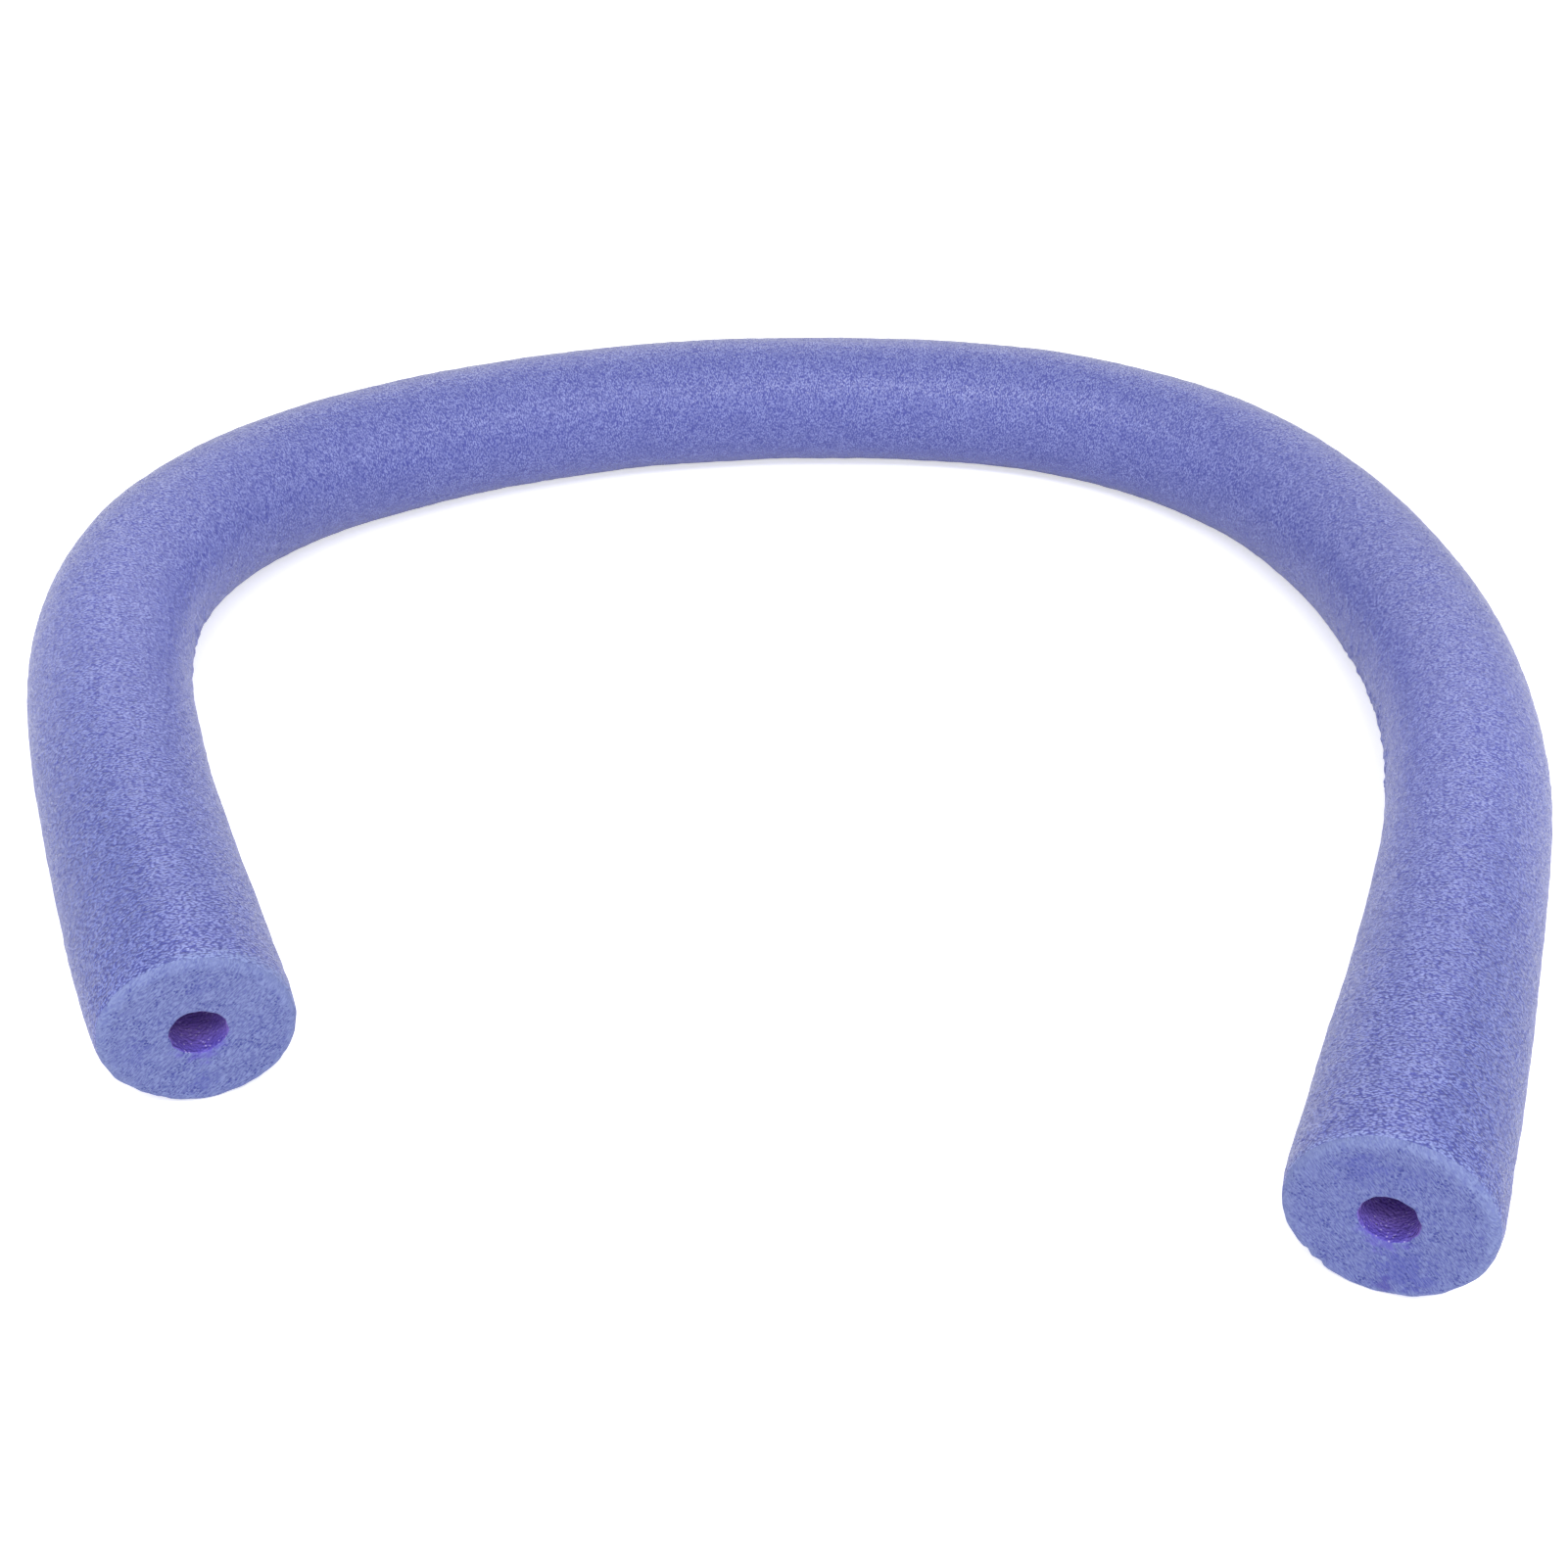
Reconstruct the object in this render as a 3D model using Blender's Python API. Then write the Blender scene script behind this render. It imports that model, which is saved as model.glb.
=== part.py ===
"""A pool noodle lying in a loose horseshoe on the ground.

The noodle is one extruded length of closed-cell polyethylene foam with a bore right through it, sawn
off at both ends. It's modelled as the extruder and the saw leave it: one section, swept along one
route, with a flat cut at each end. Units are metres and degrees, +Z is up, and the ground is Z = 0.
"""
import math

import bmesh
import bpy
from mathutils import Vector

# The foam as it's sold
NOODLE_LENGTH = 1.500
NOODLE_DIAMETER = 0.065
BORE_DIAMETER = 0.0185

# The saw leaves the outer edge and the bore's lip soft
CUT_EDGE_ROUND = 0.0025
BORE_LIP_ROUND = 0.0010

# The foam's weight presses a narrow strip flat along its underside
REST_FLAT_DEPTH = 0.0005

# The left end was sawn a little off square: its inner side stands out, and so does its top
LEFT_CUT_SKEW = 7.0
LEFT_CUT_LEAN = 2.5

# The left end points this far round from +X, seen from above, and every bend turns right from there
START_HEADING = 119.0

# Each bend turns by so many degrees, eased in and out around a place along the noodle
BEND_SHARES = (
    # centre, spread, degrees
    (0.225, 0.25, 47.0),
    (0.385, 0.98, 93.0),
    (0.610, 0.25, 48.0),
    (0.770, 0.37, 42.0),
)

# How finely the sweep is drawn
STATIONS = 72
SIDES = 29
EDGE_STEPS = 3

FOAM_COLOUR = (0.224, 0.246, 0.584, 1.0)
FOAM_ROUGHNESS = 0.55


def clear_scene():
    for item in list(bpy.data.objects):
        bpy.data.objects.remove(item, do_unlink=True)


def eased(share):
    """Goes from 0 to 1, level at both ends, so that a bend starts and ends without a kink."""
    share = min(max(share, 0.0), 1.0)
    return share - math.sin(math.tau * share) / math.tau


def heading(share):
    """The direction of travel at a share of the length, in radians from +X."""
    turned = sum(turn * eased((share - centre) / spread + 0.5) for centre, spread, turn in BEND_SHARES)
    return math.radians(START_HEADING - turned)


def walk_route():
    """Centre and direction of travel at each station, from the left end to the right end."""
    height = NOODLE_DIAMETER / 2 - REST_FLAT_DEPTH
    centre = Vector((0.0, 0.0, height))
    stride = NOODLE_LENGTH / STATIONS
    route = []
    for station in range(STATIONS + 1):
        angle = heading(station / STATIONS)
        route.append((centre.copy(), Vector((math.cos(angle), math.sin(angle), 0.0))))
        midway = heading((station + 0.5) / STATIONS)
        centre += stride * Vector((math.cos(midway), math.sin(midway), 0.0))
    return route


def section(radius, floor):
    """Points round a circle, as (sideways, up), with the underside cut flat at the floor's depth."""
    flat_angle = math.acos(1.0 - REST_FLAT_DEPTH / (NOODLE_DIAMETER / 2))
    step = (math.tau - 2 * flat_angle) / (SIDES - 1)
    points = []
    for side in range(SIDES):
        angle = flat_angle + step * side
        points.append((radius * math.sin(angle), max(-radius * math.cos(angle), -floor)))
    return points


def add_ring(mesh, place, radius, inset=0.0, skew=0.0, lean=0.0):
    """One ring of points across the route.

    The inset moves it along the route, and the skew and the lean tilt it as the saw did.
    """
    centre, along = place
    left = Vector((-along.y, along.x, 0.0))
    floor = NOODLE_DIAMETER / 2 - REST_FLAT_DEPTH
    ring = []
    for sideways, up in section(radius, floor):
        shift = inset + sideways * math.tan(math.radians(skew)) - up * math.tan(math.radians(lean))
        ring.append(mesh.verts.new(centre + left * sideways + Vector((0.0, 0.0, up)) + along * shift))
    return ring


def rounded_edge(mesh, place, radius, edge, inward, cut):
    """Rings from the cut face round to the wall: a positive edge rounds the skin, a negative one the lip."""
    rings = []
    for step in range(EDGE_STEPS + 1):
        angle = math.radians(90.0) * step / EDGE_STEPS
        ring_radius = radius - edge * (1.0 - math.sin(angle))
        inset = abs(edge) * (1.0 - math.cos(angle))
        rings.append(add_ring(mesh, place, ring_radius, inward * inset, *cut))
    return rings


def wall_rings(mesh, route, radius, edge):
    """All the rings of the skin or of the bore, from the left cut face to the right one."""
    rings = rounded_edge(mesh, route[0], radius, edge, 1.0, (LEFT_CUT_SKEW, LEFT_CUT_LEAN))
    for place in route[1:-1]:
        rings.append(add_ring(mesh, place, radius))
    rings += reversed(rounded_edge(mesh, route[-1], radius, edge, -1.0, (0.0, 0.0)))
    return rings


def join_rings(mesh, rings):
    for ring, following in zip(rings, rings[1:]):
        for side in range(SIDES):
            after = (side + 1) % SIDES
            mesh.faces.new((ring[side], ring[after], following[after], following[side]))


def foam_material():
    material = bpy.data.materials.new("periwinkle_polyethylene_foam")
    material.use_nodes = True
    shader = material.node_tree.nodes["Principled BSDF"]
    shader.inputs["Base Color"].default_value = FOAM_COLOUR
    shader.inputs["Roughness"].default_value = FOAM_ROUGHNESS
    shader.inputs["Metallic"].default_value = 0.0
    material.diffuse_color = FOAM_COLOUR
    return material


def centre_on_ground(mesh):
    """Puts the middle of the noodle's outline over the origin, and leaves it on the ground."""
    middle = Vector((0.0, 0.0, 0.0))
    for axis in (0, 1):
        places = [corner.co[axis] for corner in mesh.verts]
        middle[axis] = (min(places) + max(places)) / 2
    bmesh.ops.translate(mesh, verts=mesh.verts, vec=-middle)


def build_noodle():
    mesh = bmesh.new()
    route = walk_route()
    skin = wall_rings(mesh, route, NOODLE_DIAMETER / 2, CUT_EDGE_ROUND)
    bore = wall_rings(mesh, route, BORE_DIAMETER / 2, -BORE_LIP_ROUND)
    join_rings(mesh, skin)
    join_rings(mesh, bore)
    join_rings(mesh, [skin[0], bore[0]])
    join_rings(mesh, [skin[-1], bore[-1]])
    centre_on_ground(mesh)
    bmesh.ops.recalc_face_normals(mesh, faces=mesh.faces)

    data = bpy.data.meshes.new("foam_noodle")
    mesh.to_mesh(data)
    mesh.free()
    data.shade_smooth()
    data.set_sharp_from_angle(angle=math.radians(40.0))
    data.materials.append(foam_material())
    noodle = bpy.data.objects.new("foam_noodle", data)
    bpy.context.scene.collection.objects.link(noodle)
    return noodle


clear_scene()
build_noodle()
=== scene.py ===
"""The looks of a foam pool noodle that lies in a loose horseshoe on a white floor.

The noodle is one extruded length of closed-cell polyethylene foam. It's modelled as it leaves the
extruder and the saw: the wall's outline is drawn from end to end, spun round the bore, roughened the
way foam is, and then bent along the route that the part holds. Units are metres and degrees, +Z is up.

In the straight foam, X runs along it from its left end, and Y points to the horseshoe's outer side.
"""

import bisect
import math
from functools import partial

import bmesh
import bpy
from bpy.props import FloatProperty, FloatVectorProperty, IntProperty, PointerProperty
from mathutils import Matrix, Vector, noise


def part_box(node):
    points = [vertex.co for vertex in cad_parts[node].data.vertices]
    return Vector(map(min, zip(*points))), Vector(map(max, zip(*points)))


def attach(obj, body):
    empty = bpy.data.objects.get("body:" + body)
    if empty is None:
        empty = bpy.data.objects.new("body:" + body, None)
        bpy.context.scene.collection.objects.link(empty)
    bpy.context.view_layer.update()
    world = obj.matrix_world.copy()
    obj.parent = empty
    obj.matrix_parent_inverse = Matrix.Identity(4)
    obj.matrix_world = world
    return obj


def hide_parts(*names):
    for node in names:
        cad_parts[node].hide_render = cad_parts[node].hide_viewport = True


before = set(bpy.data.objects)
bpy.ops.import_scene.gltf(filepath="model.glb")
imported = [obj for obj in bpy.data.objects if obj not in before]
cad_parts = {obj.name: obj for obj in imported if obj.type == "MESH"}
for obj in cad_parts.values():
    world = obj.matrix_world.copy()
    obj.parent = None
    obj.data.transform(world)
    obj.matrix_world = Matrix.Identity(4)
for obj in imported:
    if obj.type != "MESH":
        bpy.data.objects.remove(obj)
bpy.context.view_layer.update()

bl_info = {
    "name": "Foam noodle",
    "version": (1, 0, 0),
    "blender": (4, 5, 0),
    "location": "3D View > Sidebar > Noodle",
    "description": "Extrudes, saws and bends a foam pool noodle, and lights it on a white floor",
    "category": "Add Mesh",
}

MM = 0.001

# Places that are nearer to each other than this count as the same
HAIR = 0.01 * MM

# The left end points this far round from +X, seen from above, and every bend turns right from there
START_HEADING = 119.0

# Each bend turns by so many degrees, eased in and out around a place along the noodle
BEND_SHARES = (
    # centre, spread, degrees
    (0.225, 0.25, 47.0),
    (0.385, 0.98, 93.0),
    (0.610, 0.25, 48.0),
    (0.770, 0.37, 42.0),
)
ROUTE_STEPS = 1440

# How thick the foam is at places along it: a bend squeezes it, and the right end flares
GIRTH_SHARES = (
    # place, thickness
    (0.000, 1.022),
    (0.125, 0.994),
    (0.375, 0.994),
    (0.500, 0.998),
    (0.625, 1.012),
    (0.750, 0.984),
    (0.875, 0.982),
    (1.000, 1.046),
)

# Where the inner side of each tight bend puckers, low down and towards its arm
PUCKERED_SHARES = (
    # start, end
    (0.145, 0.205),
    (0.735, 0.840),
)
PUCKER_FADE_SHARE = 0.01

# Small dents in the edge of a cut, from years of use
EDGE_DENTS = (
    # on the left end, degrees from the outer side towards the top, half width, depth
    (True, -48.0, 11 * MM, 0.5 * MM),
    (True, -63.0, 2.5 * MM, 0.3 * MM),
    (False, -129.0, 2.2 * MM, 1.1 * MM),
    (False, -119.0, 2.0 * MM, 0.9 * MM),
)
DENT_FLOOR_SHARE = 0.3

# Each kind of roughness: about half the way from one of its lumps to the next, and where its noise starts
SWELL_GRAIN = (22 * MM, 1.3)
PEBBLE_GRAIN = (3.0 * MM, 7.1)
PUCKER_GRAIN = (1.8 * MM, 4.7)
FRAY_GRAIN = (2.0 * MM, 2.9)
BORE_GRAIN = (6 * MM, 11.9)
MOUTH_GRAIN = (1.5 * MM, 3.3)
SAW_GRAIN = (9 * MM, 5.9)
TORN_GRAIN = (2.4 * MM, 8.3)

# Pebbles are shorter along the foam than round it, and puckers too. The noise below the gap lies flat
PEBBLE_SQUEEZE = 1.3
PUCKER_SPREAD = 0.8
PUCKER_GAP = 0.2

# Where the puckers lie in the section, from the axis: none at the first distance, and full at the second
PUCKERED_INWARDS = (13 * MM, 24 * MM)
PUCKERED_UP = (6 * MM, -4 * MM)

# How far from a cut each of its marks reaches: none beyond the first distance, full within the second
SLANT_REACH = (45 * MM, 0.0)
DENT_REACH = (7 * MM, 1.5 * MM)
FRAY_REACH = (6 * MM, 0.0)
TEAR_REACH = (4 * MM, 0.0)

# The pressed edge of a cut eases off over this distance
TUCK_REACH = 15 * MM

# How often the sides of the wall's outline are cut: the skin's and the bore's twice over
SKIN_CUTS = (24, 23)
BORE_CUTS = (11, 9)
FACE_CUTS = 12

# How many straight pieces make each round corner of the outline
CORNER_SEGMENTS = 4

# How many more of the skin's rings crowd into a puckered stretch, and near a cut
PUCKER_CROWD = 2.4
CUT_CROWD = 2.0
CROWD_REACH = (40 * MM, 10 * MM)

# The foam's straight place before it was bent, which its patterns follow
PLACE_ATTRIBUTE = "foam_place"

# The order of the noodle's materials
SKIN, CUT, BORE = range(3)

# Real bubbles are 0.3 to 1 mm across. Most wouldn't show from the camera, so they're drawn a little
# coarser, and the skin's are squeezed along the foam
SKIN_BUBBLE = (0.62 * MM, 1.25 * MM, 1.25 * MM)
BORE_BUBBLE = (1.1 * MM, 1.1 * MM, 1.1 * MM)
BUBBLE_WANDER = 0.6

# How far apart the marks of each pattern are
WANDER_PITCH = 2.6 * MM
LUMP_PITCH = 1.9 * MM
MOTTLE_PITCH = 7 * MM
CLOUD_PITCH = 6 * MM
PORE_PITCH = 1.3 * MM
GLINT_PITCH = 1.5 * MM

# The saw's frayed fibres slant on the face, and are longest one way
FIBRE_PITCHES = (0.8 * MM, 2.0 * MM, 0.45 * MM)
FIBRE_SLANT = math.radians(-45.0)

# How far apart a ragged edge's rags are, and how far they stray: a spot's by a share of its reach
RAG_PITCH = 1.6 * MM
SKIN_RAG = 2.0 * MM
FACE_RAG = 1.5 * MM
SPOT_RAG_PITCH = 3 * MM
SPOT_RAG_SHARE = 0.45

# How far from a cut each finish, painted shade and painted light changes: it starts at the first distance,
# and is full at the second
ENDS_REACH = (0.35, 0.02)
MIDDLE_REACH = (0.20, 0.42)
RUB_REACH = (4.5 * MM, 0.5 * MM)
MOUTH_REACH = (14 * MM, 0.5 * MM)

# The same for a cut face's rim, from its outer edge
RIM_REACH = (5.0 * MM, 1.0 * MM)

# The arms' outer side, painted darker and bluer near the ends as shade where the lamps reach it less: its
# direction from the axis, and where it starts and is full, as shares of the diameter
OUTSIDE_DIRECTION = (0.0, 0.62, 0.78)
OUTSIDE_SHARES = (0.36, 0.49)

# Bruises on the cut faces, and a small, darker smudge on the right one
BRUISES = (
    # on the left end, outwards, up, reach, strength
    (False, 9 * MM, -19 * MM, 13 * MM, 0.85),
    (False, -12 * MM, 18 * MM, 11 * MM, 0.65),
    (False, 3 * MM, 20 * MM, 7 * MM, 0.50),
    (True, 2 * MM, -22 * MM, 6 * MM, 0.60),
    (True, -2 * MM, 20 * MM, 5 * MM, 0.45),
    (True, 20 * MM, -3 * MM, 7 * MM, 0.40),
)
SMUDGE_PLACE = (5 * MM, -27 * MM)
SMUDGE_REACH = 4 * MM

# The lamps, which all point at the middle of the floor
SOFTBOXES = (
    # name, place, width and height, its power on the stage
    ("key_softbox", (0.0, -1.2, 1.72), (2.4, 0.4), "key_light"),
    ("top_softbox", (0.0, -0.4, 1.7), (1.5, 1.5), "top_light"),
    ("back_softbox", (0.0, 2.0, 1.05), (2.7, 0.9), "back_light"),
    ("front_softbox", (0.0, -2.2, 0.5), (2.4, 0.5), "front_light"),
    ("right_softbox", (1.6, -1.5, 1.2), (1.0, 0.8), "right_light"),
    ("left_glint_lamp", (-1.9, 0.1, 0.92), (0.25, 0.25), "glint_light"),
    ("right_glint_lamp", (1.9, 0.1, 0.92), (0.25, 0.25), "glint_light"),
)

# In front of the open side, above the floor, where the photograph was taken from
CAMERA_PLACE = (0.0024, -0.7096, 0.4886)

# The floor lies a little under the foam, so that the two never share a face
FLOOR_GAP = 0.2 * MM

# How strongly the floor glows by itself, which lifts it to plain white where it's seen or mirrored
SEEN_LIFT = 0.60
MIRRORED_LIFT = 0.22

WHITE = (1.0, 1.0, 1.0, 1.0)


def from_hex(code):
    """The linear colour of an sRGB hex value, with its alpha."""
    shares = [int(code[at:at + 2], 16) / 255 for at in (1, 3, 5)]
    linear = [share / 12.92 if share <= 0.04045 else ((share + 0.055) / 1.055) ** 2.4 for share in shares]
    return (*linear, 1.0)


def length_property(name, description, metres):
    return FloatProperty(
        name=name, description=description, default=metres, min=0.0, precision=4, unit="LENGTH"
    )


def angle_property(name, description, degrees):
    return FloatProperty(name=name, description=description, default=math.radians(degrees), subtype="ANGLE")


def power_property(name, description, watts):
    return FloatProperty(name=name, description=description, default=watts, min=0.0, unit="POWER")


def colour_property(name, description, code):
    return FloatVectorProperty(
        name=name, description=description, default=from_hex(code), size=4, min=0.0, max=1.0, subtype="COLOR"
    )


class NoodleSizes(bpy.types.PropertyGroup):
    length: length_property("Length", "From cut to cut along the middle, laid straight", 1.5)
    diameter: length_property("Diameter", "Across the foam's skin", 65 * MM)
    bore: length_property("Bore", "Across the hole along the middle", 18.5 * MM)
    edge_round: length_property("Edge round", "Round that the saw and use leave on the outer edge", 3.5 * MM)
    lip_round: length_property("Lip round", "Round that the saw leaves on the bore's lip", 1.0 * MM)
    rest_flat: length_property("Rest flat", "How deep the foam's weight presses its underside flat", 0.5 * MM)
    left_skew: angle_property("Left skew", "How far the left end's inner side stands out", 7.0)
    left_lean: angle_property("Left lean", "How far the left end's top stands out", 2.5)
    swell: length_property("Swell", "Height of the skin's long, soft waves", 0.30 * MM)
    pebble: length_property("Pebble", "Height of the skin's small lumps", 0.14 * MM)
    pucker: length_property("Pucker", "Height of the small puckers inside the tight bends", 0.85 * MM)
    tuck: length_property("Tuck", "How far handling has pressed the edge of a cut inwards", 1.2 * MM)
    fray: length_property("Fray", "Height of the frayed foam on the edge of a cut", 0.20 * MM)
    bore_wave: length_property("Bore wave", "Height of the slow waves in the bore's wall", 0.18 * MM)
    tear: length_property("Tear", "Height of the torn foam at the bore's mouths", 0.30 * MM)
    saw_wave: length_property("Saw wave", "Height of the slow waves that the saw leaves on a cut", 0.20 * MM)
    torn_cell: length_property("Torn cell", "Height of the torn bubbles on a cut", 0.15 * MM)
    sides: IntProperty(name="Sides", description="Faces round the foam", default=128, min=12)


class NoodleColours(bpy.types.PropertyGroup):
    crest: colour_property("Crest", "The skin on top of each bubble", "#A5AEF0")
    # Partly painted shade in the hollows between the bubbles
    valley: colour_property("Valley", "The skin between bubbles", "#555BB6")
    # Painted shade: darkens the middle, which the lamps in front light less than the near ends
    middle_painted_shade: colour_property("Middle tint", "Multiplies the skin's colour in the middle", "#E8E9EB")
    # Painted shade: darkens and blues the arms' outer side near the ends, where the lamps reach less
    outside_painted_shade: colour_property("Outside tint", "Multiplies the skin's colour on the outer side", "#D2D9EA")
    haze: colour_property("Haze", "The pale bloom that the skin shows at a low angle", "#C8CCFF")
    cut: colour_property("Cut face", "Foam that the saw has opened", "#6770B3")
    fibre: colour_property("Fibre", "The frayed fibres on a cut face", "#8B98CC")
    pore: colour_property("Pore", "The hollow of a sawn bubble", "#3E469C")
    # Also the painted shade that darkens the right end's face
    bruise_and_shade: colour_property("Grime", "A faint blue bruise on a cut face", "#5056B0")
    smudge: colour_property("Smudge", "A small dark bruise on a cut face", "#4A40A4")
    cut_rim: colour_property("Cut rim", "The rubbed edge between a cut face and the skin", "#99A8DE")
    # Partly painted light: the purple glow of the light that comes through the translucent foam wall
    bore_wall_and_glow: colour_property("Bore wall", "The bore's own skin", "#9C80D4")
    # Painted light: the bluer tone of the lower side near each mouth, where the light from outside falls
    lit_bore_lip: colour_property("Bore lip", "The bore's lower side where it meets the cut face", "#6459C6")
    # Painted glints on the bore's lower wall
    painted_glint: colour_property("Fleck", "The pale flecks of dust on the bore's lower side", "#D9CCF4")


class NoodleStage(bpy.types.PropertyGroup):
    floor_width: length_property("Floor width", "Across the white floor", 12.0)
    paper: colour_property("Paper", "The floor's matte white paper", "#F8F8F8")
    room_light: FloatProperty(
        name="Room light", description="How strongly the white room lights", default=0.44, min=0.0
    )
    key_light: power_property("Key light", "Power of the long softbox above the camera", 21.0)
    top_light: power_property("Top light", "Power of the softbox overhead", 4.0)
    back_light: power_property("Back light", "Power of the wide softbox behind", 8.0)
    front_light: power_property("Front light", "Power of the low, wide softbox in front", 6.0)
    right_light: power_property("Right light", "Power of the softbox in front, on the right", 4.0)
    glint_light: power_property("Glint light", "Power of each small lamp at the sides", 2.2)
    lens: FloatProperty(
        name="Lens", description="Focal length, on a 36 mm sensor", default=44.39, min=1.0,
        subtype="DISTANCE_CAMERA",
    )
    pitch: angle_property("Pitch", "How far below level the camera looks", 36.29)
    roll: angle_property("Roll", "How far the camera is turned about its own axis", 3.64)


# The foam's route

def eased(share):
    """Goes from 0 to 1, level at both ends, so that a bend starts and ends without a kink."""
    share = min(max(share, 0.0), 1.0)
    return share - math.sin(math.tau * share) / math.tau


def heading(share):
    """The direction of travel at a share of the length, in radians from +X."""
    turned = sum(turn * eased((share - centre) / spread + 0.5) for centre, spread, turn in BEND_SHARES)
    return math.radians(START_HEADING - turned)


class Route:
    """The way that the noodle's middle takes over the floor."""

    def __init__(self, length):
        self.length = length
        self.stride = length / ROUTE_STEPS
        self.centres = [Vector((0.0, 0.0, 0.0))]
        for step in range(ROUTE_STEPS):
            self.centres.append(self.centres[-1] + self.stride * self.ahead((step + 0.5) / ROUTE_STEPS))
        self.crowd()

    def ahead(self, share):
        angle = heading(share)
        return Vector((math.cos(angle), math.sin(angle), 0.0))

    def place(self, along, left, up):
        """Where a place in the straight foam goes. Past an end, the route runs straight on."""
        held = min(max(along, 0.0), self.length)
        ahead = self.ahead(held / self.length)
        step = min(int(held / self.stride), ROUTE_STEPS - 1)
        centre = self.centres[step].lerp(self.centres[step + 1], held / self.stride - step)
        centre = centre + ahead * (along - held)
        return centre + Vector((-ahead.y, ahead.x, 0.0)) * left + Vector((0.0, 0.0, up))

    def crowd(self):
        """Counts how many rings the skin needs up to each step: more where it puckers and near the cuts."""
        self.rings_before = [0.0]
        for step in range(ROUTE_STEPS):
            share = (step + 0.5) / ROUTE_STEPS
            from_end = min(share, 1.0 - share) * self.length
            needed = 1.0 + PUCKER_CROWD * puckered(share) + CUT_CROWD * between(from_end, *CROWD_REACH)
            self.rings_before.append(self.rings_before[-1] + needed)

    def crowded(self, share):
        """Where along the skin a ring goes that was drawn at an even share."""
        wanted = share * self.rings_before[-1]
        step = min(bisect.bisect_right(self.rings_before, wanted), ROUTE_STEPS) - 1
        low, high = self.rings_before[step:step + 2]
        return (step + (wanted - low) / (high - low)) / ROUTE_STEPS


# The foam's shape

def select(mesh, kind, wanted):
    """In edit mode, selects only the vertices, edges or faces of which every vertex is wanted."""
    shape = bmesh.from_edit_mesh(mesh)
    for item in (*shape.faces, *shape.edges, *shape.verts):
        item.select = False
    for item in getattr(shape, kind):
        item.select = all(wanted(vertex.co) for vertex in (getattr(item, "verts", None) or [item]))
    bmesh.update_edit_mesh(mesh)


def draw_wall_outline(sizes):
    """The foam's wall cut lengthwise, as a closed line with its round corners, above the noodle's axis."""
    outer = sizes.diameter / 2
    inner = sizes.bore / 2
    bpy.ops.object.select_all(action="DESELECT")
    bpy.ops.mesh.primitive_plane_add(
        size=1.0, location=(sizes.length / 2, 0.0, (outer + inner) / 2), rotation=(math.pi / 2, 0.0, 0.0)
    )
    noodle = bpy.context.object
    noodle.name = noodle.data.name = "foam_noodle_skin"
    noodle.scale = (sizes.length, outer - inner, 1.0)
    bpy.ops.object.transform_apply(location=True, rotation=True, scale=True)
    bpy.ops.object.mode_set(mode="EDIT")

    bpy.ops.mesh.select_mode(type="VERT")
    for radius, edge in ((outer, sizes.edge_round), (inner, sizes.lip_round)):
        select(noodle.data, "verts", lambda place: abs(place.z - radius) < HAIR)
        bpy.ops.mesh.bevel(
            offset=edge, offset_type="OFFSET", affect="VERTICES", segments=CORNER_SEGMENTS,
            clamp_overlap=False,
        )
    bpy.ops.mesh.select_all(action="SELECT")
    bpy.ops.mesh.delete(type="ONLY_FACE")

    bpy.ops.mesh.select_mode(type="EDGE")
    for radius, cuts in ((outer, SKIN_CUTS), (inner, BORE_CUTS)):
        for number in cuts:
            select(noodle.data, "edges", lambda place: abs(place.z - radius) < HAIR)
            bpy.ops.mesh.subdivide(number_cuts=number)
    for end in (0.0, sizes.length):
        select(noodle.data, "edges", lambda place: abs(place.x - end) < HAIR)
        bpy.ops.mesh.subdivide(number_cuts=FACE_CUTS)
    return noodle


def spin_wall(sizes):
    """Spins the outline into the closed wall, with its faces outwards, and leaves edit mode."""
    bpy.ops.mesh.select_all(action="SELECT")
    bpy.ops.mesh.spin(steps=sizes.sides, angle=math.tau, center=(0.0, 0.0, 0.0), axis=(1.0, 0.0, 0.0))
    bpy.ops.mesh.select_all(action="SELECT")
    bpy.ops.mesh.normals_make_consistent(inside=False)
    bpy.ops.object.mode_set(mode="OBJECT")
    bpy.ops.object.shade_smooth()


def split_surfaces(noodle, sizes):
    """Gives each face its surface, by its place: the skin, a cut face or the bore."""
    outer = sizes.diameter / 2
    inner = sizes.bore / 2
    for face in noodle.data.polygons:
        middle = face.center
        radius = math.hypot(middle.y, middle.z)
        from_end = min(middle.x, sizes.length - middle.x)
        if radius < inner + sizes.lip_round and from_end > sizes.lip_round / 4:
            face.material_index = BORE
        elif radius > outer - sizes.edge_round and from_end > sizes.edge_round / 2:
            face.material_index = SKIN
        else:
            face.material_index = CUT


def between(value, low, high):
    """0 at low and short of it, 1 at high and past it, and a soft step between them, either way round."""
    share = min(max((value - low) / (high - low), 0.0), 1.0)
    return share * share * (3 - 2 * share)


def girth(share):
    """How thick the foam is at a share of its length, eased from one listed place to the next."""
    share = min(max(share, 0.0), 1.0)
    for (start, low), (end, high) in zip(GIRTH_SHARES, GIRTH_SHARES[1:]):
        if share <= end:
            return low + (high - low) * between(share, start, end)
    return GIRTH_SHARES[-1][1]


def puckered(share):
    """From 0 to 1: how strongly the bend puckers the foam at a share of its length."""
    fade = PUCKER_FADE_SHARE
    return max(
        between(share, start - fade, start + fade) * between(share, end + fade, end - fade)
        for start, end in PUCKERED_SHARES
    )


def grain(place, pitch, start):
    """Smooth noise round 0, mostly from -1 to 1, whose lumps are about two pitches apart."""
    return 2.0 * noise.noise(place / (2.0 * pitch) + Vector((start, 0.0, 0.0)))


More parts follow.
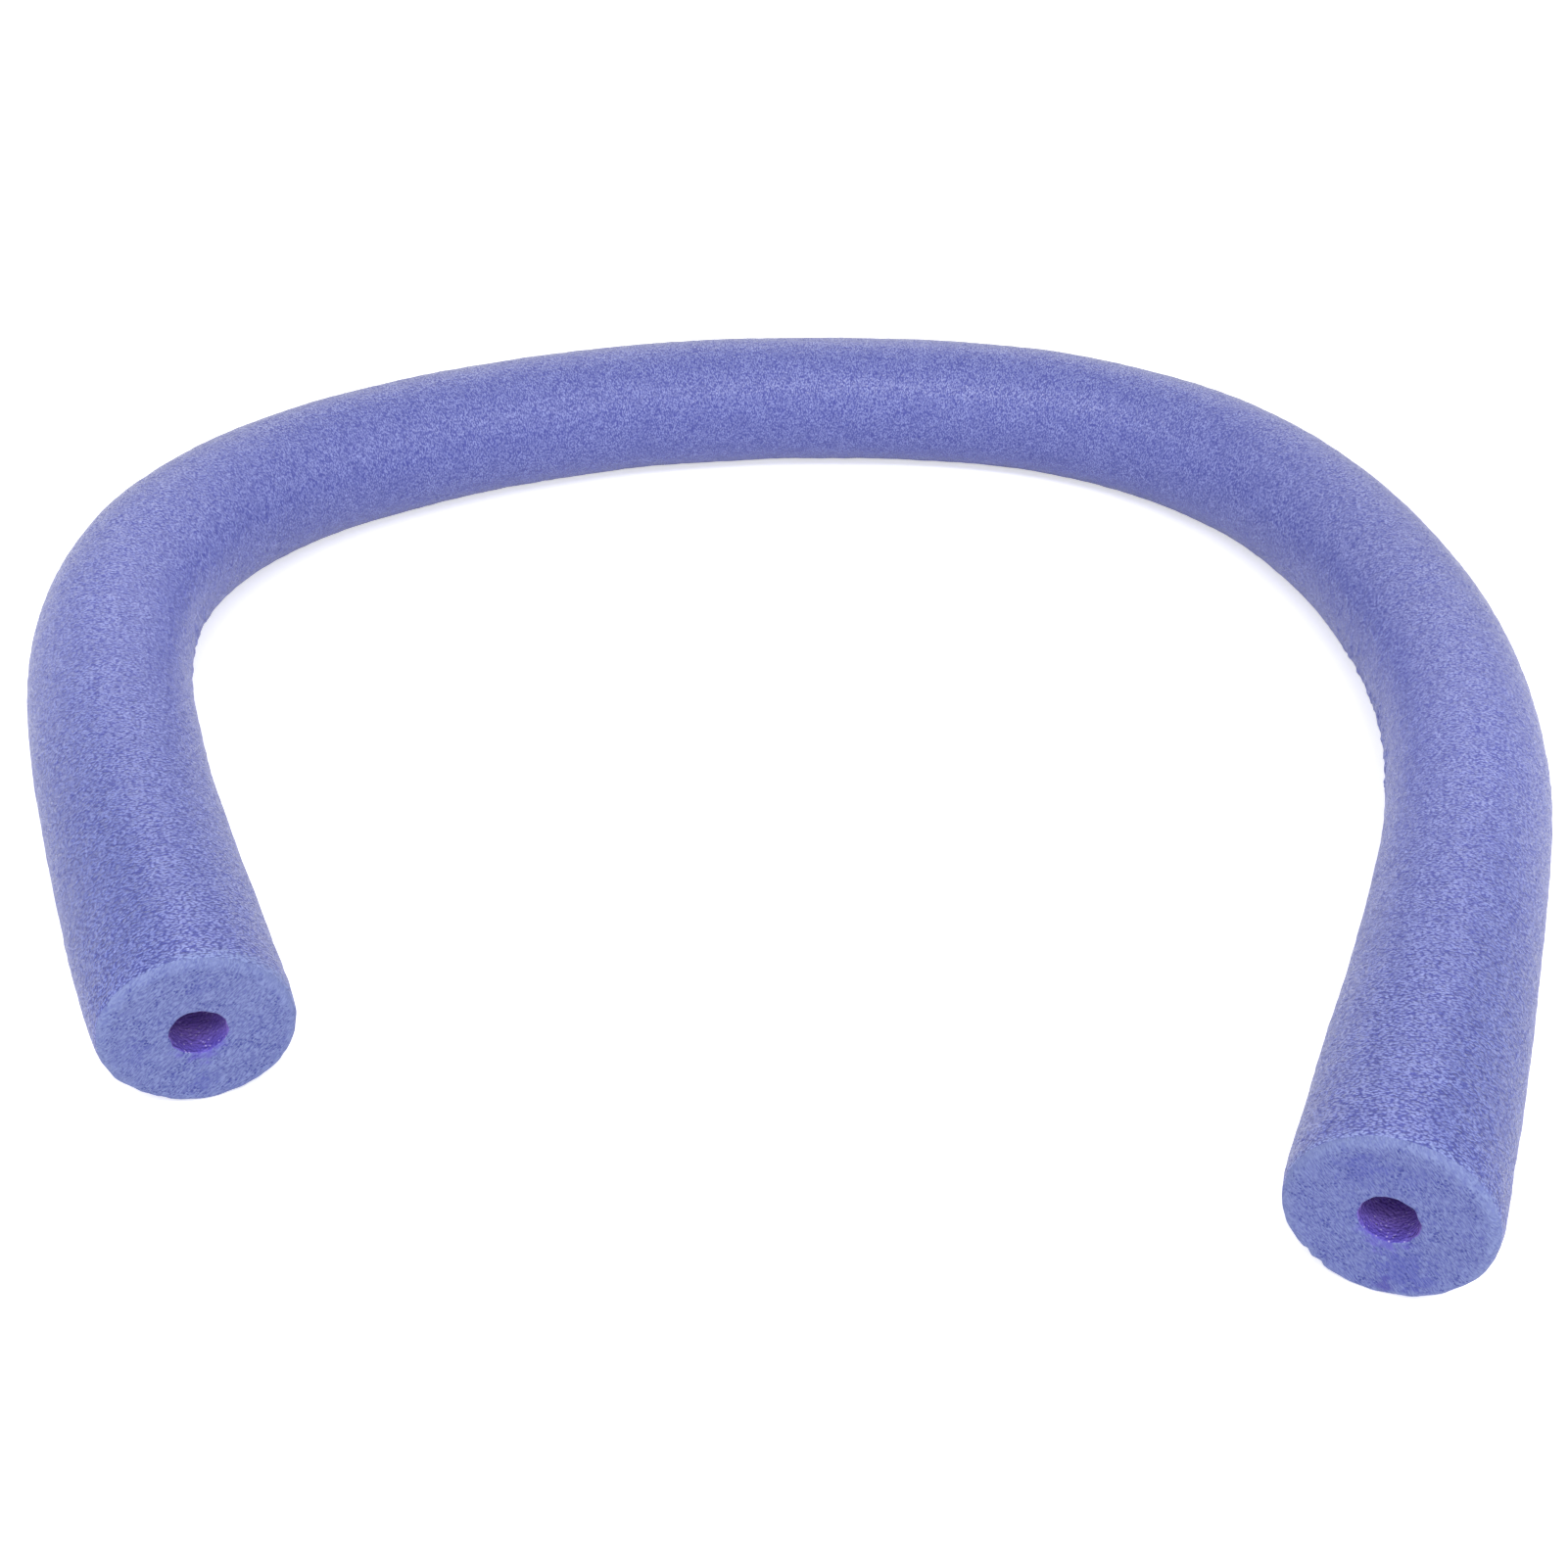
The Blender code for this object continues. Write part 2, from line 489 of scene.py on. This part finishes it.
def skin_lift(place, from_end, sizes):
    """How far the skin stands out at a place.

    It has long waves and small lumps all along, puckers low down inside the bends, and frays at a cut.
    """
    lift = sizes.swell * grain(place, *SWELL_GRAIN)
    lift += sizes.pebble * grain(Vector((place.x * PEBBLE_SQUEEZE, place.y, place.z)), *PEBBLE_GRAIN)
    squeezed = between(-place.y, *PUCKERED_INWARDS) * between(place.z, *PUCKERED_UP)
    if squeezed:
        spread = Vector((place.x, place.y * PUCKER_SPREAD, place.z * PUCKER_SPREAD))
        raised = max(0.0, grain(spread, *PUCKER_GRAIN) - PUCKER_GAP)
        lift += sizes.pucker * squeezed * puckered(place.x / sizes.length) * raised
    return lift + sizes.fray * grain(place, *FRAY_GRAIN) * between(from_end, *FRAY_REACH)


def dent_depth(on_left, angle, from_end, sizes):
    """How deep the edge of a cut is dented, at degrees round the end from its outer side to its top."""
    depth = 0.0
    for dent_on_left, centre, half_width, deepest in EDGE_DENTS:
        if dent_on_left == on_left:
            away = abs((angle - centre + 180.0) % 360.0 - 180.0)
            arc = math.radians(away) * sizes.diameter / 2
            hollow = between(arc, half_width, DENT_FLOOR_SHARE * half_width)
            depth += deepest * hollow * between(from_end, *DENT_REACH)
    return depth


def bore_lift(place, from_end, sizes):
    """How far the bore's wall stands into the bore: slow waves all along, and torn foam at the mouth."""
    lift = sizes.bore_wave * grain(place, *BORE_GRAIN)
    return lift + sizes.tear * grain(place, *MOUTH_GRAIN) * between(from_end, *TEAR_REACH)


def cut_lift(place, sizes):
    """How far the cut face stands out at a place: the saw's slow waves and torn cells."""
    return sizes.saw_wave * grain(place, *SAW_GRAIN) + sizes.torn_cell * grain(place, *TORN_GRAIN)


def spaced(along, radius, sizes, route):
    """Where along the foam a ring goes that was drawn evenly.

    The bore's rings close up towards its mouths, and the skin's where it is roughest.
    """
    for wall, first in ((sizes.bore / 2, sizes.lip_round), (sizes.diameter / 2, sizes.edge_round)):
        if abs(radius - wall) < HAIR:
            span = sizes.length - 2 * first
            share = min(max((along - first) / span, 0.0), 1.0)
            if wall == sizes.bore / 2:
                share = (1 - math.cos(math.pi * share)) / 2
            else:
                share = route.crowded(share)
            return first + span * share
    return along


def shape_foam(noodle, sizes):
    """Saws the ends, roughens the foam, and bends it along its route."""
    route = Route(sizes.length)
    outer = sizes.diameter / 2
    inner = sizes.bore / 2
    floor = outer - sizes.rest_flat
    straight = noodle.data.attributes.new(PLACE_ATTRIBUTE, "FLOAT_VECTOR", "POINT").data
    for vertex, straight_place in zip(noodle.data.vertices, straight):
        along, left, up = vertex.co
        radius = math.hypot(left, up)
        along = spaced(along, radius, sizes, route)
        slant = left * math.tan(sizes.left_skew) - up * math.tan(sizes.left_lean)
        sawn = along + slant * between(along, *SLANT_REACH)
        place = Vector((sawn, left, up))
        straight_place.vector = place

        from_end = min(along, sizes.length - along)
        on_left = along < sizes.length / 2
        swollen = outer * (girth(along / sizes.length) - 1.0)
        tucked = max(0.0, 1.0 - from_end / TUCK_REACH) ** 2 * between(up / radius, -1.0, 0.0)
        lift = swollen - sizes.tuck * tucked
        if radius > outer - sizes.edge_round - HAIR:
            lift += skin_lift(place, from_end, sizes)
            lift -= dent_depth(on_left, math.degrees(math.atan2(up, left)), from_end, sizes)
        elif radius < inner + sizes.lip_round + HAIR:
            lift = -bore_lift(place, from_end, sizes)
        else:
            lift *= (radius - inner) / (outer - inner)
        stretch = (radius + lift) / radius

        bulge = cut_lift(place, sizes) * between(from_end, sizes.edge_round, 0.0)
        height = max(up * stretch + swollen, -floor)
        vertex.co = route.place(sawn + (-bulge if on_left else bulge), left * stretch, height + floor)


def settle(noodle):
    """Moves the noodle over the floor until its outline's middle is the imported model's."""
    low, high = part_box("foam_noodle")
    places = [vertex.co for vertex in noodle.data.vertices]
    shift = Vector((0.0, 0.0, 0.0))
    for axis in (0, 1):
        span = [place[axis] for place in places]
        shift[axis] = (low[axis] + high[axis] - min(span) - max(span)) / 2
    noodle.data.transform(Matrix.Translation(shift))


# The foam's finish

# A Mix node's sockets for colours share their names with those for numbers, so they go by number
MIX_FACTOR, MIX_A, MIX_B, MIX_RESULT = 0, 6, 7, 2


def feed(node, sockets):
    """Gives each of a node's sockets a value, or the output that feeds it."""
    for name, value in sockets.items():
        if isinstance(value, bpy.types.NodeSocket):
            node.id_data.links.new(value, node.inputs[name])
        else:
            node.inputs[name].default_value = value


def add_node(tree, kind, sockets, **settings):
    """Adds a node with its settings and feeds its sockets, by name or in order. Gives its outputs."""
    node = tree.nodes.new("ShaderNode" + kind)
    for name, value in settings.items():
        setattr(node, name, value)
    feed(node, sockets if isinstance(sockets, dict) else dict(enumerate(sockets)))
    return node.outputs


def start_material(name):
    """A new material, its shader, what adds a node to it, and the foam's straight place."""
    material = bpy.data.materials.new(name)
    material.use_nodes = True
    add = partial(add_node, material.node_tree)
    place = add("Attribute", {}, attribute_name=PLACE_ATTRIBUTE)["Vector"]
    return material, material.node_tree.nodes["Principled BSDF"], add, place


def bubbles(add, place, pitches):
    """Three outputs of the foam's bubbles: their tops, their roundness and their tilt.

    The first goes from 0 between bubbles to 1 on top of them. The second is the depth below a bubble's
    top, and the third the height of a slope that each bubble has by itself, both for a pitch of one.
    """
    wander = add("TexNoise", {"Vector": place, "Scale": 1.0 / WANDER_PITCH, "Detail": 1.0})["Color"]
    even = add("VectorMath", (place, [1.0 / pitch for pitch in pitches]), operation="MULTIPLY")[0]
    bubble_place = add("VectorMath", (wander, (BUBBLE_WANDER,) * 3, even), operation="MULTIPLY_ADD")[0]
    cells = add("TexVoronoi", {"Vector": bubble_place, "Scale": 1.0, "Smoothness": 0.2}, feature="SMOOTH_F1")
    distance = cells["Distance"]
    top = add("MapRange", (distance, 0.30, 0.70, 1.0, 0.0), interpolation_type="SMOOTHSTEP")[0]
    depth = add("Math", (distance, distance), operation="MULTIPLY")[0]

    # Each cell's random colour, from 0 to 1, becomes its lean, from -1 to 1
    away = add("VectorMath", (bubble_place, cells["Position"]), operation="SUBTRACT")[0]
    lean = add("VectorMath", (cells["Color"], (2.0,) * 3, (-1.0,) * 3), operation="MULTIPLY_ADD")[0]
    tilt = add("VectorMath", (away, lean), operation="DOT_PRODUCT")["Value"]
    return top, depth, tilt


def from_cut(add, place, sizes):
    """How far a place in the straight foam is from the nearer end, along the foam."""
    along = add("SeparateXYZ", (place,))[0]
    beyond_middle = add("Math", (along, sizes.length / 2), operation="SUBTRACT")[0]
    from_middle = add("Math", (beyond_middle,), operation="ABSOLUTE")[0]
    return add("Math", (sizes.length / 2, from_middle), operation="SUBTRACT")[0]


def ragged(add, place, distance, pitch, stray):
    """A distance that strays up and down a little from place to place, so that an edge by it is ragged."""
    rags = add("TexNoise", {"Vector": place, "Scale": 1.0 / pitch, "Detail": 2.0})["Fac"]
    strayed = add("MapRange", (rags, 0.3, 0.7, -stray, stray))[0]
    return add("Math", (distance, strayed), operation="ADD")[0]


def near_spot(add, place, spot, reach):
    """From 1 at a spot in the straight foam to 0 beyond its reach, with a ragged edge."""
    away = add("VectorMath", (place, spot), operation="DISTANCE")["Value"]
    away = ragged(add, place, away, SPOT_RAG_PITCH, SPOT_RAG_SHARE * reach)
    return add("MapRange", (away, 0.3 * reach, reach, 1.0, 0.0), interpolation_type="SMOOTHSTEP")[0]


def extruded_skin(colours, sizes):
    """Closed-cell polyethylene as it leaves the die: tiny squeezed bubbles, glossy on top and dull between.

    Each bubble catches the light by itself, so a soft lamp shows as a band of fine glints. The ends are
    handled most, which raises their grain. The middle is darker, a painted shade because the lamps in front
    light the near ends more. The outer side of both arms near the ends is also darker, a painted shade where
    the lamps reach it less.
    Between the bubbles the colour is darker, partly the foam's own grain and partly painted shade in the
    hollows.
    The saw's rub leaves the last few millimetres pale and dull.
    """
    material, shader, add, place = start_material("extruded_polyethylene_foam_skin")
    dome, depth, tilt = bubbles(add, place, SKIN_BUBBLE)
    lumps = add("TexNoise", {"Vector": place, "Scale": 1.0 / LUMP_PITCH, "Detail": 1.0})["Fac"]
    mottle = add("TexNoise", {"Vector": place, "Scale": 1.0 / MOTTLE_PITCH, "Detail": 3.0})["Fac"]
    to_cut = from_cut(add, place, sizes)
    ends = add("MapRange", (to_cut, *ENDS_REACH, 0.0, 1.0), interpolation_type="SMOOTHSTEP")[0]
    calm = add("MapRange", (ends, 0.0, 1.0, 1.0, 0.15))[0]

    # A faint mottle all along, and darker pits between the lumps, a painted shade in their hollows, that grow
    # shallow towards the ends
    shade = add("MapRange", (mottle, 0.35, 0.65, 0.0, 0.22))[0]
    pits = add("MapRange", (lumps, 0.36, 0.64, 0.32, 0.0))[0]
    pits = add("Math", (pits, calm), operation="MULTIPLY")[0]
    shade = add("Math", (shade, pits), operation="ADD")[0]
    crest = add(
        "Mix", {MIX_FACTOR: shade, MIX_A: colours.crest, MIX_B: colours.valley}, data_type="RGBA"
    )[MIX_RESULT]
    # Darker between the bubbles: partly the foam's own grain, partly painted shade in the hollows between
    # them
    colour = add(
        "Mix", {MIX_FACTOR: dome, MIX_A: colours.valley, MIX_B: crest}, data_type="RGBA"
    )[MIX_RESULT]

    # Painted shade: the middle is darker, and so is the arms' outer side near the ends
    middle = add("MapRange", (to_cut, *MIDDLE_REACH, 0.0, 1.0), interpolation_type="SMOOTHSTEP")[0]
    outwards = add("VectorMath", (place, OUTSIDE_DIRECTION), operation="DOT_PRODUCT")["Value"]
    start, end = (sizes.diameter * share for share in OUTSIDE_SHARES)
    outside = add("MapRange", (outwards, start, end, 0.35, 1.15), interpolation_type="SMOOTHSTEP")[0]
    arms = add("Math", (ends, 1.5), operation="POWER")[0]
    outside = add("Math", (outside, arms), operation="MULTIPLY")[0]
    for shade_share, tint in ((middle, colours.middle_painted_shade), (outside, colours.outside_painted_shade)):
        colour = add(
            "Mix", {MIX_FACTOR: shade_share, MIX_A: colour, MIX_B: tint}, data_type="RGBA", blend_type="MULTIPLY"
        )[MIX_RESULT]

    # The saw's rub takes the bubbles' tops first. The noise's high places bring it nearer, hence the minus
    rub = ragged(add, place, to_cut, RAG_PITCH, -SKIN_RAG)
    rub = add("MapRange", (rub, *RUB_REACH, 0.0, 0.88))[0]
    rubbed_top = add("MapRange", (dome, 0.0, 1.0, 0.35, 1.0))[0]
    rub = add("Math", (rub, rubbed_top), operation="MULTIPLY")[0]
    colour = add(
        "Mix", {MIX_FACTOR: rub, MIX_A: colour, MIX_B: colours.cut_rim}, data_type="RGBA"
    )[MIX_RESULT]
    shine = add("MapRange", (dome, 0.1, 0.6, 0.38, 0.11))[0]
    roughness = add("Math", (shine, rub), operation="MAXIMUM")[0]

    # Heights in millimetres: the bubbles' round and tilt, which grow towards the ends, and the lumps
    relief = add("MapRange", (ends, 0.0, 1.0, -0.12, -0.34))[0]
    height = add("Math", (depth, relief), operation="MULTIPLY")[0]
    lump_height = add("Math", (calm, 0.46), operation="MULTIPLY")[0]
    height = add("Math", (lumps, lump_height, height), operation="MULTIPLY_ADD")[0]
    tilt_height = add("MapRange", (ends, 0.0, 1.0, 0.09, 0.32))[0]
    height = add("Math", (tilt, tilt_height, height), operation="MULTIPLY_ADD")[0]
    bump = add("Bump", {"Height": height, "Distance": MM, "Strength": 1.0})
    feed(shader, {
        "Base Color": colour, "Roughness": roughness, "IOR": 1.46, "Normal": bump["Normal"],
        "Sheen Weight": 0.22, "Sheen Roughness": 0.24, "Sheen Tint": colours.haze,
    })
    return material


def sawn_foam(colours, sizes):
    """Foam that the saw has opened: matte and bluer, with slanting fibres, dark pores and a pale rim."""
    material, shader, add, place = start_material("sawn_polyethylene_foam")
    slanted = add(
        "Mapping", {"Vector": place, "Rotation": (FIBRE_SLANT, 0.0, 0.0), "Scale": FIBRE_PITCHES},
        vector_type="TEXTURE",
    )["Vector"]
    fibres = add("TexNoise", {"Vector": slanted, "Scale": 1.0, "Detail": 2.0})["Fac"]
    frayed = add("MapRange", (fibres, 0.40, 0.60, 1.0, 0.0))[0]
    clouds = add("TexNoise", {"Vector": place, "Scale": 1.0 / CLOUD_PITCH, "Detail": 3.0})["Fac"]

    # The cut foam, clouded, with a rim that fades in towards its outer edge
    dark = add("MapRange", (clouds, 0.42, 0.66, 0.0, 0.45))[0]
    ground = add(
        "Mix", {MIX_FACTOR: dark, MIX_A: colours.cut, MIX_B: colours.pore}, data_type="RGBA"
    )[MIX_RESULT]
    on_face = add("VectorMath", (place, (0.0, 1.0, 1.0)), operation="MULTIPLY")[0]
    radius = add("VectorMath", (on_face,), operation="LENGTH")["Value"]
    radius = ragged(add, place, radius, RAG_PITCH, FACE_RAG)
    start, end = (sizes.diameter / 2 - reach for reach in RIM_REACH)
    rim = add("MapRange", (radius, start, end, 0.0, 1.0))[0]
    pale = add("Math", (rim, 0.30), operation="MULTIPLY")[0]
    ground = add(
        "Mix", {MIX_FACTOR: pale, MIX_A: ground, MIX_B: colours.cut_rim}, data_type="RGBA"
    )[MIX_RESULT]

    # Bruises, and a painted shade that darkens the faces towards the right end, which the right lamp lights
    # more. Neither reaches the rim
    along = add("SeparateXYZ", (place,))[0]
    bruised_and_shaded = add("MapRange", (along, 0.0, sizes.length, 0.0, 0.22))[0]
    for on_left, outwards, up, reach, strength in BRUISES:
        bruise = near_spot(add, place, (0.0 if on_left else sizes.length, outwards, up), reach)
        bruise = add("Math", (bruise, strength), operation="MULTIPLY")[0]
        bruised_and_shaded = add("Math", (bruised_and_shaded, bruise), operation="MAXIMUM")[0]
    inside_rim = add("Math", (1.0, rim), operation="SUBTRACT")[0]
    bruised_and_shaded = add("Math", (bruised_and_shaded, inside_rim), operation="MULTIPLY")[0]
    ground = add(
        "Mix", {MIX_FACTOR: bruised_and_shaded, MIX_A: ground, MIX_B: colours.bruise_and_shade}, data_type="RGBA"
    )[MIX_RESULT]

    # Pale fibres, fewer on a bruise and in the painted shade
    fuzz = add("MapRange", (bruised_and_shaded, 0.0, 1.0, 0.85, 0.30))[0]
    fuzz = add("Math", (frayed, fuzz), operation="MULTIPLY")[0]
    ground = add(
        "Mix", {MIX_FACTOR: fuzz, MIX_A: ground, MIX_B: colours.fibre}, data_type="RGBA"
    )[MIX_RESULT]

    # Open pores, in patches, and fainter on the rim
    cells = add("TexVoronoi", {"Vector": place, "Scale": 1.0 / PORE_PITCH})["Distance"]
    pore = add("MapRange", (cells, 0.18, 0.42, 1.0, 0.0), interpolation_type="SMOOTHSTEP")[0]
    for fading in ((clouds, 0.38, 0.60, 0.25, 1.0), (rim, 0.4, 1.0, 0.90, 0.30)):
        left_over = add("MapRange", fading)[0]
        pore = add("Math", (pore, left_over), operation="MULTIPLY")[0]
    colour = add(
        "Mix", {MIX_FACTOR: pore, MIX_A: ground, MIX_B: colours.pore}, data_type="RGBA"
    )[MIX_RESULT]

    # A smudge low on the right face, and on its lower lip the bore's lower colour, a painted glow of the
    # light through the thin lip
    smudge = near_spot(add, place, (sizes.length, *SMUDGE_PLACE), SMUDGE_REACH)
    lip = near_spot(add, on_face, (0.0, 0.0, -sizes.bore * 0.30), sizes.bore * 0.52)
    for spot, strength, stain_and_glow in ((smudge, 0.55, colours.smudge), (lip, 0.60, colours.lit_bore_lip)):
        stain_and_glow_share = add("Math", (spot, strength), operation="MULTIPLY")[0]
        colour = add(
            "Mix", {MIX_FACTOR: stain_and_glow_share, MIX_A: colour, MIX_B: stain_and_glow}, data_type="RGBA"
        )[MIX_RESULT]

    height = add("Math", (frayed, pore), operation="SUBTRACT")[0]
    bump = add("Bump", {"Height": height, "Distance": 0.16 * MM, "Strength": 1.0})
    feed(shader, {"Base Color": colour, "Roughness": 0.70, "IOR": 1.45, "Normal": bump["Normal"]})
    return material


def bore_skin(colours, sizes):
    """The bore's own skin, as the die's pin leaves it: smooth and glossy, in a purple that is partly a
    painted glow of the light through the translucent foam, with painted glints.
    """
    material, shader, add, place = start_material("extruded_polyethylene_foam_bore")
    _, depth, _ = bubbles(add, place, BORE_BUBBLE)
    mouth = add("MapRange", (from_cut(add, place, sizes), *MOUTH_REACH, 0.0, 1.0))[0]
    # Painted light: towards each mouth, the lower side takes the bluer tone of the light that falls in from
    # outside
    up = add("SeparateXYZ", (place,))[2]
    low = add(
        "MapRange", (up, sizes.bore * 0.3, -sizes.bore * 0.5, 0.0, 1.0), interpolation_type="SMOOTHSTEP"
    )[0]
    lit = add("Math", (mouth, low), operation="MULTIPLY")[0]
    colour = add(
        "Mix", {MIX_FACTOR: lit, MIX_A: colours.bore_wall_and_glow, MIX_B: colours.lit_bore_lip}, data_type="RGBA"
    )[MIX_RESULT]

    # Painted glints: pale specks on the lower side, where the glossy wall catches the light
    cells = add("TexVoronoi", {"Vector": place, "Scale": 1.0 / GLINT_PITCH})["Distance"]
    painted_glint = add("MapRange", (cells, 0.14, 0.26, 0.6, 0.0))[0]
    painted_glint = add("Math", (painted_glint, low), operation="MULTIPLY")[0]
    colour = add(
        "Mix", {MIX_FACTOR: painted_glint, MIX_A: colour, MIX_B: colours.painted_glint}, data_type="RGBA"
    )[MIX_RESULT]
    height = add("Math", (depth, -1.0), operation="MULTIPLY")[0]
    bump = add("Bump", {"Height": height, "Distance": 0.6 * MM, "Strength": 1.0})
    feed(shader, {"Base Color": colour, "Roughness": 0.20, "IOR": 1.5, "Normal": bump["Normal"]})
    return material


# The stage

def add_softbox(name, place, size, power):
    """An area lamp that points at the middle of the floor."""
    turn = (-Vector(place)).to_track_quat("-Z", "Y").to_euler()
    bpy.ops.object.light_add(type="AREA", location=place, rotation=turn)
    lamp = bpy.context.object
    lamp.name = lamp.data.name = name
    lamp.data.shape = "RECTANGLE"
    lamp.data.size, lamp.data.size_y = size
    lamp.data.energy = power


def seen_and_mirrored(add):
    """Two outputs that are 1 or 0: for what the camera sees straight, and in a gloss or through glass."""
    rays = add("LightPath", {})
    mirrored = add("Math", (rays["Is Glossy Ray"], rays["Is Transmission Ray"]), operation="MAXIMUM")[0]
    return rays["Is Camera Ray"], mirrored


def white_room(strength):
    """A plain white room: it lights at its strength, and shows white where it's seen or mirrored."""
    world = bpy.data.worlds.new("white_room")
    bpy.context.scene.world = world
    world.use_nodes = True
    add = partial(add_node, world.node_tree)
    shown = add("Math", seen_and_mirrored(add), operation="MAXIMUM")[0]
    shown_strength = add("MapRange", (shown, 0.0, 1.0, strength, 1.0))[0]
    feed(world.node_tree.nodes["Background"], {"Color": WHITE, "Strength": shown_strength})


def floor_material(paper):
    """Matte white paper. Where it's seen or mirrored it's lifted to plain white, and it keeps the shadow."""
    material = bpy.data.materials.new("matte_white_paper")
    material.use_nodes = True
    tree = material.node_tree
    tree.nodes.remove(tree.nodes["Principled BSDF"])
    add = partial(add_node, tree)
    matte = add("BsdfDiffuse", {"Color": paper})[0]
    seen, mirrored = seen_and_mirrored(add)
    strength = add("Math", (mirrored, MIRRORED_LIFT), operation="MULTIPLY")[0]
    strength = add("Math", (seen, SEEN_LIFT, strength), operation="MULTIPLY_ADD")[0]
    lift = add("Emission", {"Color": WHITE, "Strength": strength})[0]
    feed(tree.nodes["Material Output"], {"Surface": add("AddShader", (matte, lift))[0]})
    return material


class NOODLE_OT_extrude_foam(bpy.types.Operator):
    """Extrude the foam with its bore, saw both ends and bend it into a horseshoe"""

    bl_idname = "noodle.extrude_foam"
    bl_label = "Extrude foam"
    bl_options = {"REGISTER", "UNDO"}

    def execute(self, context):
        sizes = context.scene.noodle_sizes
        colours = context.scene.noodle_colours
        if sizes.bore + 2 * (sizes.edge_round + sizes.lip_round) >= sizes.diameter:
            raise ValueError("the bore leaves no flat wall on the cut face")
        noodle = draw_wall_outline(sizes)
        spin_wall(sizes)
        for make in (extruded_skin, sawn_foam, bore_skin):
            noodle.data.materials.append(make(colours, sizes))
        split_surfaces(noodle, sizes)
        shape_foam(noodle, sizes)
        settle(noodle)
        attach(noodle, "root")
        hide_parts("foam_noodle")
        return {"FINISHED"}


class NOODLE_OT_set_stage(bpy.types.Operator):
    """Lay the white floor, light it softly and set up the camera"""

    bl_idname = "noodle.set_stage"
    bl_label = "Set stage"
    bl_options = {"REGISTER", "UNDO"}

    def execute(self, context):
        stage = context.scene.noodle_stage
        bpy.ops.object.select_all(action="DESELECT")
        bpy.ops.mesh.primitive_plane_add(size=stage.floor_width, location=(0.0, 0.0, -FLOOR_GAP))
        floor = context.object
        floor.name = floor.data.name = "white_floor"
        bpy.ops.object.transform_apply(location=True)
        floor.data.materials.append(floor_material(stage.paper))
        white_room(stage.room_light)
        for name, place, size, power in SOFTBOXES:
            add_softbox(name, place, size, getattr(stage, power))
        context.scene.view_settings.view_transform = "Standard"

        turn = Matrix.Rotation(math.pi / 2 - stage.pitch, 3, "X") @ Matrix.Rotation(stage.roll, 3, "Z")
        bpy.ops.object.camera_add(location=CAMERA_PLACE, rotation=turn.to_euler())
        camera = context.object
        camera.name = camera.data.name = "front_camera"
        camera.data.lens = stage.lens
        context.scene.camera = camera
        return {"FINISHED"}


class NOODLE_PT_panel(bpy.types.Panel):
    bl_idname = "NOODLE_PT_panel"
    bl_label = "Foam noodle"
    bl_space_type = "VIEW_3D"
    bl_region_type = "UI"
    bl_category = "Noodle"

    def draw(self, context):
        for group, operator in (
            (context.scene.noodle_sizes, None),
            (context.scene.noodle_colours, NOODLE_OT_extrude_foam.bl_idname),
            (context.scene.noodle_stage, NOODLE_OT_set_stage.bl_idname),
        ):
            box = self.layout.box()
            for name in group.__annotations__:
                box.prop(group, name)
            if operator:
                box.operator(operator)


CLASSES = (
    NoodleSizes,
    NoodleColours,
    NoodleStage,
    NOODLE_OT_extrude_foam,
    NOODLE_OT_set_stage,
    NOODLE_PT_panel,
)


def register():
    for added in CLASSES:
        bpy.utils.register_class(added)
    bpy.types.Scene.noodle_sizes = PointerProperty(type=NoodleSizes)
    bpy.types.Scene.noodle_colours = PointerProperty(type=NoodleColours)
    bpy.types.Scene.noodle_stage = PointerProperty(type=NoodleStage)


def unregister():
    del bpy.types.Scene.noodle_stage
    del bpy.types.Scene.noodle_colours
    del bpy.types.Scene.noodle_sizes
    for added in reversed(CLASSES):
        bpy.utils.unregister_class(added)


def main():
    register()
    bpy.ops.noodle.extrude_foam()
    bpy.ops.noodle.set_stage()


if __name__ == "__main__":
    main()
